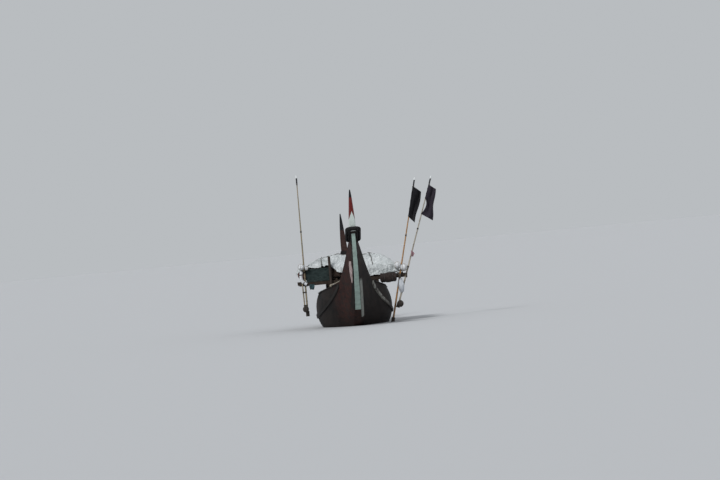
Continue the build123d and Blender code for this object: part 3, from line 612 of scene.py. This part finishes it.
def rope_material(name, colour):
    material, tree, shader, coords = new_material(name)
    grime = ramp(tree, noise_value(tree, coords, 12.0, 5.0, 0.6), 0.35, 0.7)
    link(tree, mix(tree, grime, colour, tuple(c * 0.45 for c in colour)), shader, "Base Color")
    shader.inputs["Roughness"].default_value = 0.9
    lay = node(
        tree, "ShaderNodeTexWave", [("Vector", stretched(tree, coords, (1.0, 1.0, 1.0))), ("Scale", 45.0)],
        bands_direction="DIAGONAL",
    ).outputs["Fac"]
    add_bump(tree, shader, lay, 0.003)
    return material


def make_heap():
    """Nets heaped on the platform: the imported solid, softened and lumpy."""
    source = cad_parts["net_heap"]
    heap = bpy.data.objects.new("heaped_nets", source.data.copy())
    bpy.context.scene.collection.objects.link(heap)
    remesh = heap.modifiers.new("remesh", "REMESH")
    remesh.mode = "VOXEL"
    remesh.voxel_size = 0.045
    smooth = heap.modifiers.new("smooth", "SMOOTH")
    smooth.iterations = 6
    baked(heap)
    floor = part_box("net_heap")[0][2]
    moves = []
    for v in heap.data.vertices:
        out = 0.034 * lumps(v.co, 0.34, 3.0) + 0.018 * lumps(v.co, 0.11, 8.0) - 0.022
        moves.append(v.co + v.normal * out)
    for v, place in zip(heap.data.vertices, moves):
        rise = sum(high * math.exp(-((place.x - at) / spread) ** 2) for at, spread, high in HEAP_SWELLS)
        x = min(place.x, HEAP_END_X) + HEAP_END_SHARE * max(place.x - HEAP_END_X, 0.0)
        v.co = (x, place.y, max(place.z + rise * (place.z - floor) / HEAP_HEIGHT, floor))
    heap.data.materials.clear()
    heap.data.materials.append(net_material("heap_netting", (0.085, 0.052, 0.036), (0.022, 0.014, 0.011)))
    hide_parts("net_heap")
    return ride_on_hull(heap)


def make_tarpaulin(heap):
    """Coated sheet, lumpy when it is let go: it falls over the heap, settles and is then crumpled."""
    wide, long = TARP_FLAT
    columns, rows = 91, 101
    turn = Matrix.Rotation(math.radians(TARP_TURN), 3, "Z")
    verts = []
    for r in range(rows):
        for c in range(columns):
            flat = Vector(((c / (columns - 1) - 0.5) * wide, (r / (rows - 1) - 0.5) * long, 0.0))
            p = turn @ flat + Vector(TARP_CENTRE)
            p.z += 0.050 * lumps(flat, 0.36, 5.0) + 0.030 * lumps(flat, 0.17, 9.0)
            verts.append(p)
    # The second colour is the soiling and the painted shade in the creases
    material = cloth_material(
        "white_tarpaulin", TARP_WHITE, (0.34, 0.37, 0.37), 260.0, 0.42, patch=1.6, gloss=0.5, crumpled=True,
    )
    tarp = object_from("tarpaulin_sheet", verts, grid_faces(rows, columns), material)
    under = (
        "front_board", "bitt_post", "port_net_roll", "starboard_net_roll", "crossbeams", "platform_poles",
    )
    settle(tarp, [heap, *(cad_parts[name] for name in under)], 50)
    smooth = tarp.modifiers.new("smooth", "SUBSURF")
    smooth.levels = 1
    smooth.render_levels = 1
    baked(tarp)
    moves = []
    for v in tarp.data.vertices:
        x, y, z = v.co
        sideways = min(1.0, max(0.0, (abs(x) - 0.95) / 0.25))
        over_front = crumple((x + 0.35 * z, 0.28 * y, 0.22 * z), 0.15, 4.0)
        over_side = crumple((0.25 * x, y, 0.25 * z), 0.16, 7.0)
        out = 0.038 * (over_front * (1.0 - sideways) + over_side * sideways)
        out += 0.024 * crumple(v.co, 0.30, 2.0) + 0.013 * crumple(v.co, 0.13, 6.0)
        out += 0.006 * crumple(v.co, 0.07, 11.0)
        moves.append(v.co + v.normal * out)
    for v, place in zip(tarp.data.vertices, moves):
        v.co = place
    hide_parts("tarpaulin")
    return ride_on_hull(tarp)


def settle(sheet, solids, frames):
    """Let a sheet fall on solids and keep the shape it comes to rest in."""
    scene = bpy.context.scene
    helpers = []
    for solid in solids:
        copy = bpy.data.objects.new(solid.name + "_collider", solid.data.copy())
        scene.collection.objects.link(copy)
        copy.modifiers.new("collision", "COLLISION")
        copy.collision.thickness_outer = 0.012
        copy.collision.cloth_friction = 25.0
        helpers.append(copy)
    cloth = sheet.modifiers.new("cloth", "CLOTH")
    cloth.settings.quality = 6
    cloth.settings.mass = 0.35
    cloth.settings.tension_stiffness = 22.0
    cloth.settings.compression_stiffness = 16.0
    cloth.settings.shear_stiffness = 6.0
    cloth.settings.bending_stiffness = 0.9
    cloth.settings.air_damping = 3.0
    cloth.collision_settings.distance_min = 0.010
    cloth.collision_settings.collision_quality = 3
    cloth.point_cache.frame_start = 1
    cloth.point_cache.frame_end = frames
    scene.frame_start = 1
    scene.frame_end = frames
    for step in range(1, frames + 1):
        scene.frame_set(step)
    baked(sheet)
    for helper in helpers:
        mesh = helper.data
        bpy.data.objects.remove(helper)
        bpy.data.meshes.remove(mesh)
    scene.frame_set(1)


def make_roll(name, node_name, start, end, radius, ties, colours, seed):
    """Rolled netting: lumpy, pinched where ropes tie it, with bulging ends."""
    start, end = Vector(start), Vector(end)
    axis = (end - start).normalized()
    side = axis.cross(Vector((0, 0, 1))).normalized()
    up = side.cross(axis)
    length = (end - start).length
    columns, rows = 72, max(40, int(length / 0.022))
    verts = []
    for r in range(rows + 1):
        t = r / rows
        pinch = sum(math.exp(-(((t - tie) * length) / 0.05) ** 2) for tie in ties)
        close = min(t, 1.0 - t) * length
        end_round = math.sqrt(max(0.0, 1.0 - (1.0 - min(1.0, close / 0.09)) ** 2))
        for c in range(columns):
            a = 2 * math.pi * c / columns
            out = side * math.cos(a) + up * math.sin(a)
            centre = start + axis * length * t
            on = centre + out * radius
            swell = 0.045 * lumps(on, 0.26, seed) + 0.030 * lumps(on, 0.10, seed + 4)
            folds = 0.020 * math.sin(7 * a + 5 * lumps((a, t * length, seed), 0.6, 1.0))
            size = radius * (0.93 + swell + folds - 0.13 * pinch) * (0.35 + 0.65 * end_round)
            verts.append(centre + out * size)
    verts.append(start)
    verts.append(end)
    faces = grid_faces(rows + 1, columns, True)
    last = rows * columns
    for c in range(columns):
        d = (c + 1) % columns
        faces.append((d, c, len(verts) - 2))
        faces.append((last + c, last + d, len(verts) - 1))
    roll = object_from(name, verts, faces, net_material(name + "_netting", *colours))
    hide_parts(node_name)
    ride_on_hull(roll)
    rope = rope_material(name + "_ties", (0.06, 0.05, 0.045))
    for number, tie in enumerate(ties):
        for turn in (-0.5, 0.5):
            place = start + axis * (length * tie + 0.016 * turn)
            points = []
            for c in range(16):
                a = 2 * math.pi * c / 16
                reach = radius * 0.84 + 0.006
                points.append(place + (side * math.cos(a) + up * math.sin(a)) * reach)
            tube(f"{name}_tie_{number}_{'ab'[turn > 0]}", points, 0.007, rope, closed=True)


def make_flag(name, node_name, corners, ties, bow, colours, seed):
    """Cloth tied to a pole along one edge: folds deepen towards its free edge."""
    head, foot, fly_low, fly_high = [Vector(c) for c in corners]
    columns, rows = 56, 80
    verts = []
    for r in range(rows + 1):
        t = r / rows
        luff = head.lerp(foot, t)
        above, below = [pair for pair in zip(ties, ties[1:]) if pair[0] <= t <= pair[1]][0]
        share = (t - above) / (below - above)
        luff.x += bow * (below - above) ** 2 * 4 * share * (1 - share)
        fly = fly_high.lerp(fly_low, t)
        fly.x += 0.035 * math.sin(math.pi * t * 1.6 + seed) * math.sin(math.pi * t)
        for c in range(columns + 1):
            u = c / columns
            p = luff.lerp(fly, u)
            fold = math.sin(2 * math.pi * (1.35 * u + 0.55 * t) + seed) * 0.060 * u ** 0.7
            fold += math.sin(2 * math.pi * (2.9 * u - 0.9 * t) + 2 * seed) * 0.022 * u
            fold += 0.020 * lumps((u * 0.6, t, seed), 0.16, seed) * (0.2 + u)
            p.z += 0.020 * u * math.sin(7.0 * t + seed)
            p.y += fold
            verts.append(p)
    material = cloth_material(name + "_cloth", *colours, weave=300.0, rough=0.85, sheen=0.06, gloss=0.1)
    flag = object_from(name + "_sheet", verts, grid_faces(rows + 1, columns + 1), material)
    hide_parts(node_name)
    return ride_on_hull(flag)


def wrap(name, centre, axis_a, axis_b, along, half_a, half_b, turns, radius, material, slack=0.0):
    """Turns of rope round a squarish thing: a rounded loop that steps along as it goes."""
    centre, axis_a, axis_b, along = Vector(centre), Vector(axis_a), Vector(axis_b), Vector(along)
    points = []
    steps = 12
    for k in range(turns * steps + 1):
        a = 2 * math.pi * k / steps
        ca, sa = math.cos(a), math.sin(a)
        ca = math.copysign(abs(ca) ** 0.6, ca)
        sa = math.copysign(abs(sa) ** 0.6, sa)
        drift = (k / steps - turns / 2) * radius * 2.1
        wobble = slack * lumps((a, k * 0.1, 0), 0.5, radius)
        place = centre + axis_a * ca * (half_a + wobble)
        points.append(place + axis_b * sa * (half_b + wobble) + along * drift)
    return tube(name, points, radius, material)


def make_bag(rope):
    """Slack white bag of floats: gathered at the neck, creased, heavier at the bottom."""
    low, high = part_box("float_bag")
    centre = [(a + b) / 2 for a, b in zip(low, high)]
    half, radius = (high[2] - low[2]) / 2, (high[0] - low[0]) / 2
    columns, rows = 80, 84
    verts = []
    for r in range(rows + 1):
        t = r / rows
        height = centre[2] - half + 2 * half * t
        belly = math.sin(math.pi * min(1.0, t * 1.02)) ** 0.42 * (1.04 - 0.34 * t)
        for c in range(columns):
            a = 2 * math.pi * c / columns
            pleat = 0.055 * math.sin(9 * a + 4 * lumps((a, t * 2, 1), 0.7, 2.0)) * (0.25 + t)
            dent = 0.16 * lumps((math.cos(a), math.sin(a), t * 3.2), 0.75, 6.0)
            size = radius * belly * (0.93 + pleat + dent)
            verts.append((centre[0] + size * math.cos(a), centre[1] + size * math.sin(a), height))
    # The second colour is the soiling and the painted shade in the creases
    material = cloth_material("bag_cloth", (0.66, 0.69, 0.73), (0.34, 0.36, 0.39), 260.0, 0.6)
    bag = object_from("float_bag_cloth", verts, grid_faces(rows + 1, columns, True), material)
    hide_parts("float_bag")
    ride_on_hull(bag)
    neck = []
    neck_z = centre[2] + half * 0.86
    for c in range(14):
        a = 2 * math.pi * c / 14
        neck.append((centre[0] + 0.045 * math.cos(a), centre[1] + 0.045 * math.sin(a), neck_z))
    tube("float_bag_neck_tie", neck, 0.007, rope, closed=True)


def make_rag(name, rows, colours, seed, twist=0.012):
    """Small torn cloth that hangs from its top edge: rows are its left and right edges from the top down."""
    columns, steps = 14, 30
    verts = []
    for r in range(steps + 1):
        place = r / steps * (len(rows) - 1)
        k = min(int(place), len(rows) - 2)
        left = Vector(rows[k][0]).lerp(Vector(rows[k + 1][0]), place - k)
        right = Vector(rows[k][1]).lerp(Vector(rows[k + 1][1]), place - k)
        down = r / steps
        for c in range(columns + 1):
            u = c / columns
            p = left.lerp(right, u)
            p.y += twist * math.sin(8.0 * u + 5.0 * down + seed) * min(1.0, 4.0 * down)
            p.x += 0.5 * twist * lumps((u, 3.0 * down, seed), 0.3, seed)
            p.z += 1.6 * twist * lumps((2.0 * u, seed, 0.0), 0.22, seed) * down
            verts.append(p)
    material = cloth_material(name + "_cloth", *colours, weave=300.0, rough=0.9, gloss=0.1, patch=9.0)
    rag = object_from(name, verts, grid_faces(steps + 1, columns + 1), material)
    return ride_on_hull(rag)


def make_bitt_rope(rope):
    """Mooring rope: turns round the bitt post, a tight run to the gunwale and a knot there."""
    low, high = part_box("bitt_post")
    x, y = (low[0] + high[0]) / 2, (low[1] + high[1]) / 2
    half_x, half_y = (high[0] - low[0]) / 2, (high[1] - low[1]) / 2
    rounds = (("bitt_turns", 1.245, 0.0, 0.011, 7), ("bitt_hitch", 1.345, 0.5, 0.013, 2))
    for name, z, tilt, gap, turns in rounds:
        wrap(
            name, (x, y, z), (1, 0, tilt), (0, 1, 0), (0, 0, 1),
            half_x + gap, half_y + gap, turns, 0.011, rope,
        )
    knot = Vector((-0.768, -2.68, 1.350))
    run = [(x, y - half_y - 0.012, 1.26), (-0.775, -2.00, 1.300), (-0.800, -2.35, 1.335), knot]
    tube("bitt_rope", run, 0.011, rope)
    rail = [
        knot, (-0.715, -2.88, 1.388), (-0.612, -3.14, 1.424),
        (-0.520, -3.32, 1.470), (-0.448, -3.46, 1.512),
    ]
    tube("gunwale_rope", rail, 0.013, rope)
    loops = (((1, 0, 0.3), (0, 1, 0)), ((0.6, 0.6, 0), (0, -0.3, 0.8)), ((0, 1, 0.4), (0.5, 0, 0.8)))
    for number, (axis_a, axis_b) in enumerate(loops):
        across = Vector(axis_a).cross(Vector(axis_b))
        wrap(f"bitt_rope_knot_{number}", knot, axis_a, axis_b, across, 0.026, 0.026, 2, 0.012, rope)


def make_ring_padding(rope):
    """Old rope packed between the ring and the horn."""
    low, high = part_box("bow_ring")
    centre = Vector([(a + b) / 2 for a, b in zip(low, high)])
    aft = Vector((0, high[1] - low[1], low[2] - high[2])).normalized()
    across = Vector((1, 0, 0))
    up = across.cross(aft)
    for number, (shift, radius) in enumerate(((-0.030, 0.034), (0.026, 0.032))):
        half_x, half_y = 0.152 - radius, 0.440 - radius
        points = []
        for a, b in ((1, 0), (1, 0.55), (0.86, 0.90), (0.40, 1), (-0.40, 1), (-0.86, 0.90), (-1, 0.55)):
            points.append((a, b))
        ring = points + [(-a, -b) for a, b in points]
        places = [centre + across * (a * half_x) + aft * (b * half_y) + up * shift for a, b in ring]
        tube(f"ring_padding_{number}", places, radius, rope, closed=True)


def make_netted_ball(name, centre, radius, material, rope):
    """Stone tied in netting: lumpy, with cords round it."""
    centre = Vector(centre)
    columns, rows = 28, 18
    verts = []
    for r in range(rows + 1):
        down = math.pi * r / rows
        for c in range(columns):
            a = 2 * math.pi * c / columns
            out = Vector((math.sin(down) * math.cos(a), math.sin(down) * math.sin(a), math.cos(down)))
            verts.append(centre + out * radius * (0.95 + 0.10 * lumps(out, 0.5, radius * 30)))
    ride_on_hull(object_from(name, verts, grid_faces(rows + 1, columns, True), material))
    for turn in range(4):
        angle = math.radians(20 + 45 * turn)
        points = []
        for c in range(16):
            a = 2 * math.pi * c / 16
            out = Vector((math.cos(a) * math.cos(angle), math.cos(a) * math.sin(angle), math.sin(a)))
            points.append(centre + out * radius)
        tube(f"{name}_cord_{turn}", points, 0.006, rope, closed=True)


def make_pole_extras(rope, pale, netting):
    """Stones at two pole feet, a bent float and a short stick beside the starboard pole."""
    make_netted_ball("starboard_stone", (-1.610, -1.768, 0.665), 0.100, netting, rope)
    make_netted_ball("port_stone", (1.425, -1.772, 0.560), 0.108, netting, rope)
    float_points = [
        (-1.640, -1.710, 1.880), (-1.672, -1.712, 1.770), (-1.670, -1.714, 1.620),
        (-1.600, -1.716, 1.500), (-1.505, -1.716, 1.455),
    ]
    tube("bent_float", float_points, 0.050, pale)
    for number, k in enumerate((1, 3)):
        here, after = Vector(float_points[k]), Vector(float_points[k + 1])
        along = (after - here).normalized()
        across = along.cross(Vector((0, 1, 0)))
        wrap(f"bent_float_tie_{number}", here, across, (0, 1, 0), along, 0.050, 0.050, 3, 0.005, rope)
    stick = [(-1.632, -1.636, 0.600), (-1.640, -1.632, 1.050), (-1.644, -1.630, 1.530)]
    tube("short_stick", stick, 0.021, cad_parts["marker_poles"].data.materials[0])
    for number, z in enumerate((0.78, 1.20)):
        wrap(
            f"stick_tie_{number}", (-1.598, -1.634, z), (1, 0, 0), (0, 1, 0), (0, 0, 1),
            0.066, 0.034, 4, 0.005, rope,
        )


def pole_x(foot, tip, z):
    """How far to port a pole is at this height."""
    return foot[0] + (tip[0] - foot[0]) * (z - foot[1]) / (tip[1] - foot[1])


def make_lashings(rope):
    """Rope turns where each marker pole crosses the fore crossbeam, further up it and under its lamp."""
    beam_low, beam_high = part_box("crossbeams")
    beam_z = (beam_low[2] + beam_high[2]) / 2
    half_z = (beam_high[2] - beam_low[2]) / 2
    for name, foot, tip in POLES:
        x = pole_x(foot, tip, beam_z)
        lean = Vector((tip[0] - foot[0], 0, tip[1] - foot[1])).normalized()
        across = Vector((lean.z, 0, -lean.x))
        # Turns over the crossbeam and the pole together
        centre = Vector((x, BEAM_FRONT_Y + 0.055 - 0.030, beam_z))
        for number, (sign, shift) in enumerate(((1, 0.045), (-1, -0.045))):
            tilt = Matrix.Rotation(math.radians(sign * 16), 3, "Y")
            wrap(
                f"{name}_lashing_{number}", centre + Vector((shift * 0.2, 0, 0)), (0, 1, 0),
                tilt @ Vector((0, 0, 1)), across, 0.100, half_z + 0.016, 4, 0.0065, rope, 0.004,
            )
        for number, along in enumerate((0.30, 0.62)):
            z = foot[1] + (tip[1] - foot[1]) * along
            radius = 0.030 - 0.015 * along + 0.004
            middle = (pole_x(foot, tip, z), POLE_Y, z)
            wrap(f"{name}_whipping_{number}", middle, across, (0, 1, 0), lean, radius, radius, 6, 0.004, rope)
        head = (tip[0], POLE_Y, tip[1] - 0.03)
        wrap(f"{name}_lamp_tie", head, across, (0, 1, 0), lean, 0.019, 0.019, 7, 0.004, rope)


def make_net_covers(rope):
    """Cords tied crosswise round the floats and weights."""
    for node_name in ("marker_floats", "marker_weights"):
        for number, (centre, radius) in enumerate(ball_list(node_name)):
            for turn in range(3):
                angle = math.radians(12 + 60 * turn + 17 * number)
                points = []
                for c in range(20):
                    a = 2 * math.pi * c / 20
                    reach = radius + 0.004
                    flat = Vector((math.cos(a) * math.cos(angle), math.cos(a) * math.sin(angle), math.sin(a)))
                    points.append(Vector(centre) + flat * reach * 1.012)
                tube(f"{node_name}_{number}_cord_{turn}", points, 0.0045, rope, closed=True)


def ball_list(node_name):
    """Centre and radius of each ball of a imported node, from its loose parts."""
    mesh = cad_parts[node_name].data
    owner = list(range(len(mesh.vertices)))

    def root(i):
        while owner[i] != i:
            owner[i] = owner[owner[i]]
            i = owner[i]
        return i

    for edge in mesh.edges:
        a, b = (root(i) for i in edge.vertices)
        owner[a] = b
    groups = {}
    for i, v in enumerate(mesh.vertices):
        groups.setdefault(root(i), []).append(v.co)
    balls = []
    for points in groups.values():
        low = Vector([min(p[k] for p in points) for k in range(3)])
        high = Vector([max(p[k] for p in points) for k in range(3)])
        size = high - low
        if max(size) < 1.06 * min(size):
            balls.append(((low + high) / 2, max(size) / 2))
    return sorted(balls, key=lambda ball: tuple(ball[0]))


def make_tarp_ropes(tarp, rope):
    """Ropes drawn tight over the tarpaulin, each end tucked in and down where the sheet is last met."""
    tree = BVHTree.FromObject(tarp, bpy.context.evaluated_depsgraph_get())
    runs = (
        (Vector((-2.00, 0.36)), Vector((2.00, 0.04))),
        (Vector((-1.00, -2.30)), Vector((-0.84, 2.30))),
        (Vector((0.68, -2.30)), Vector((0.58, 2.30))),
    )
    for number, (start, end) in enumerate(runs):
        points = []
        steps = 60
        for k in range(steps + 1):
            over = start.lerp(end, k / steps)
            hit, normal, *_ = tree.ray_cast(Vector((over.x, over.y, 3.2)), Vector((0, 0, -1)))
            if hit:
                points.append(hit + math.copysign(0.016, normal.z) * normal)
        raised = []
        for k, p in enumerate(points):
            near = points[max(0, k - 2):k + 3]
            raised.append(Vector((p.x, p.y, max(p.z, sum(q.z for q in near) / len(near)))))
        along = (raised[-1] - raised[0]).normalized()
        below = Vector((0, 0, -0.06))
        raised.insert(0, raised[0] + 0.02 * along + below)
        raised.append(raised[-1] - 0.02 * along + below)
        tube(f"tarpaulin_rope_{number}", raised, 0.010, rope)


def make_board_frame(material):
    """Battens round the face of the front board."""
    low, high = [Vector(p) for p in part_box("front_board")]
    front = low.y
    parts = [
        ((low.x, low.z), (high.x, low.z + 0.045)),
        ((low.x, high.z - 0.045), (high.x, high.z)),
        ((low.x, low.z + 0.045), (low.x + 0.045, high.z - 0.045)),
        ((high.x - 0.045, low.z + 0.045), (high.x, high.z - 0.045)),
    ]
    for number, ((x0, z0), (x1, z1)) in enumerate(parts):
        bevel_box(f"board_batten_{number}", (x0, front - 0.012, z0), (x1, front, z1), 0.003, material)


def bevel_box(name, low, high, edge, material):
    corners = [(x, y, z) for x in (low[0], high[0]) for y in (low[1], high[1]) for z in (low[2], high[2])]
    faces = [(0, 1, 3, 2), (4, 6, 7, 5), (0, 4, 5, 1), (2, 3, 7, 6), (0, 2, 6, 4), (1, 5, 7, 3)]
    obj = object_from(name, corners, faces, material)
    bevel = obj.modifiers.new("bevel", "BEVEL")
    bevel.width = edge
    bevel.segments = 2
    baked(obj)
    ride_on_hull(obj)


make_camera()
make_stage()
make_hull_materials()
make_plain_materials()
make_bamboo()
make_bronze_and_lamps()
make_stem_material()
make_head_material()
heap = make_heap()
tarp = make_tarpaulin(heap)
dark_rope = rope_material("dark_rope", (0.075, 0.062, 0.05))
pale_rope = rope_material("pale_rope", (0.42, 0.37, 0.29))
make_tarp_ropes(tarp, dark_rope)
make_roll(
    "starboard_roll", "starboard_net_roll", (-1.545, -1.540, 1.750), (-1.545, 0.700, 1.750), 0.190,
    (0.12, 0.37, 0.63, 0.88), (NET_RED, (0.05, 0.018, 0.013)), 3.0,
)
make_roll(
    "port_roll", "port_net_roll", (0.850, -1.7754, 1.435), (1.385, -1.7754, 1.435), 0.170,
    (0.25, 0.75), (NET_BROWN, (0.012, 0.008, 0.007)), 7.0,
)
make_flag(
    "inner_flag", "inner_flag",
    ((2.170, -1.664, 4.290), (1.934, -1.664, 3.325), (2.132, -1.664, 3.080), (2.436, -1.664, 4.055)),
    (0.0, 0.25, 0.5, 0.75, 1.0), 0.10, ((0.008, 0.008, 0.010), (0.016, 0.015, 0.017)), 0.6,
)
make_flag(
    "outer_flag", "outer_flag",
    ((2.682, -1.664, 4.290), (2.352, -1.664, 3.365), (2.722, -1.664, 3.112), (2.908, -1.664, 4.100)),
    (0.0, 0.15, 0.30, 0.46, 1.0), 0.36, ((0.020, 0.016, 0.024), (0.036, 0.030, 0.040)), 2.3,
)
make_bag(dark_rope)
make_lashings(dark_rope)
make_net_covers(pale_rope)
make_bitt_rope(pale_rope)
make_ring_padding(rope_material("black_rope", (0.012, 0.011, 0.011)))
make_pole_extras(
    dark_rope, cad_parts["marker_floats"].data.materials[0],
    net_material("stone_netting", (0.070, 0.055, 0.045), (0.020, 0.016, 0.014), 40.0),
)
make_rag(
    "beam_rag",
    (
        ((-1.425, -1.618, 1.445), (-1.255, -1.618, 1.440)),
        ((-1.430, -1.622, 1.360), (-1.262, -1.622, 1.350)),
        ((-1.405, -1.622, 1.270), (-1.290, -1.622, 1.262)),
    ),
    ((0.045, 0.085, 0.095), (0.018, 0.030, 0.034)), 1.7,
)
make_rag(
    "pole_rag",
    (
        ((1.930, -1.668, 2.225), (1.962, -1.668, 2.215)),
        ((1.925, -1.668, 2.130), (2.035, -1.668, 2.120)),
        ((1.930, -1.668, 2.030), (1.975, -1.668, 2.020)),
    ),
    ((0.34, 0.20, 0.22), (0.16, 0.09, 0.10)), 0.4, 0.008,
)
make_rag(
    "stem_rag",
    (
        ((-0.190, -4.700, 2.085), (-0.132, -4.930, 2.080)),
        ((-0.202, -4.615, 1.960), (-0.125, -4.850, 1.955)),
        ((-0.196, -4.560, 1.815), (-0.108, -4.800, 1.810)),
        ((-0.192, -4.490, 1.690), (-0.122, -4.720, 1.685)),
        ((-0.170, -4.455, 1.540), (-0.126, -4.610, 1.535)),
        ((-0.160, -4.380, 1.400), (-0.132, -4.480, 1.395)),
    ),
    ((0.46, 0.37, 0.36), (0.20, 0.15, 0.14)), 5.2, 0.006,
)
make_board_frame(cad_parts["front_board"].data.materials[0])
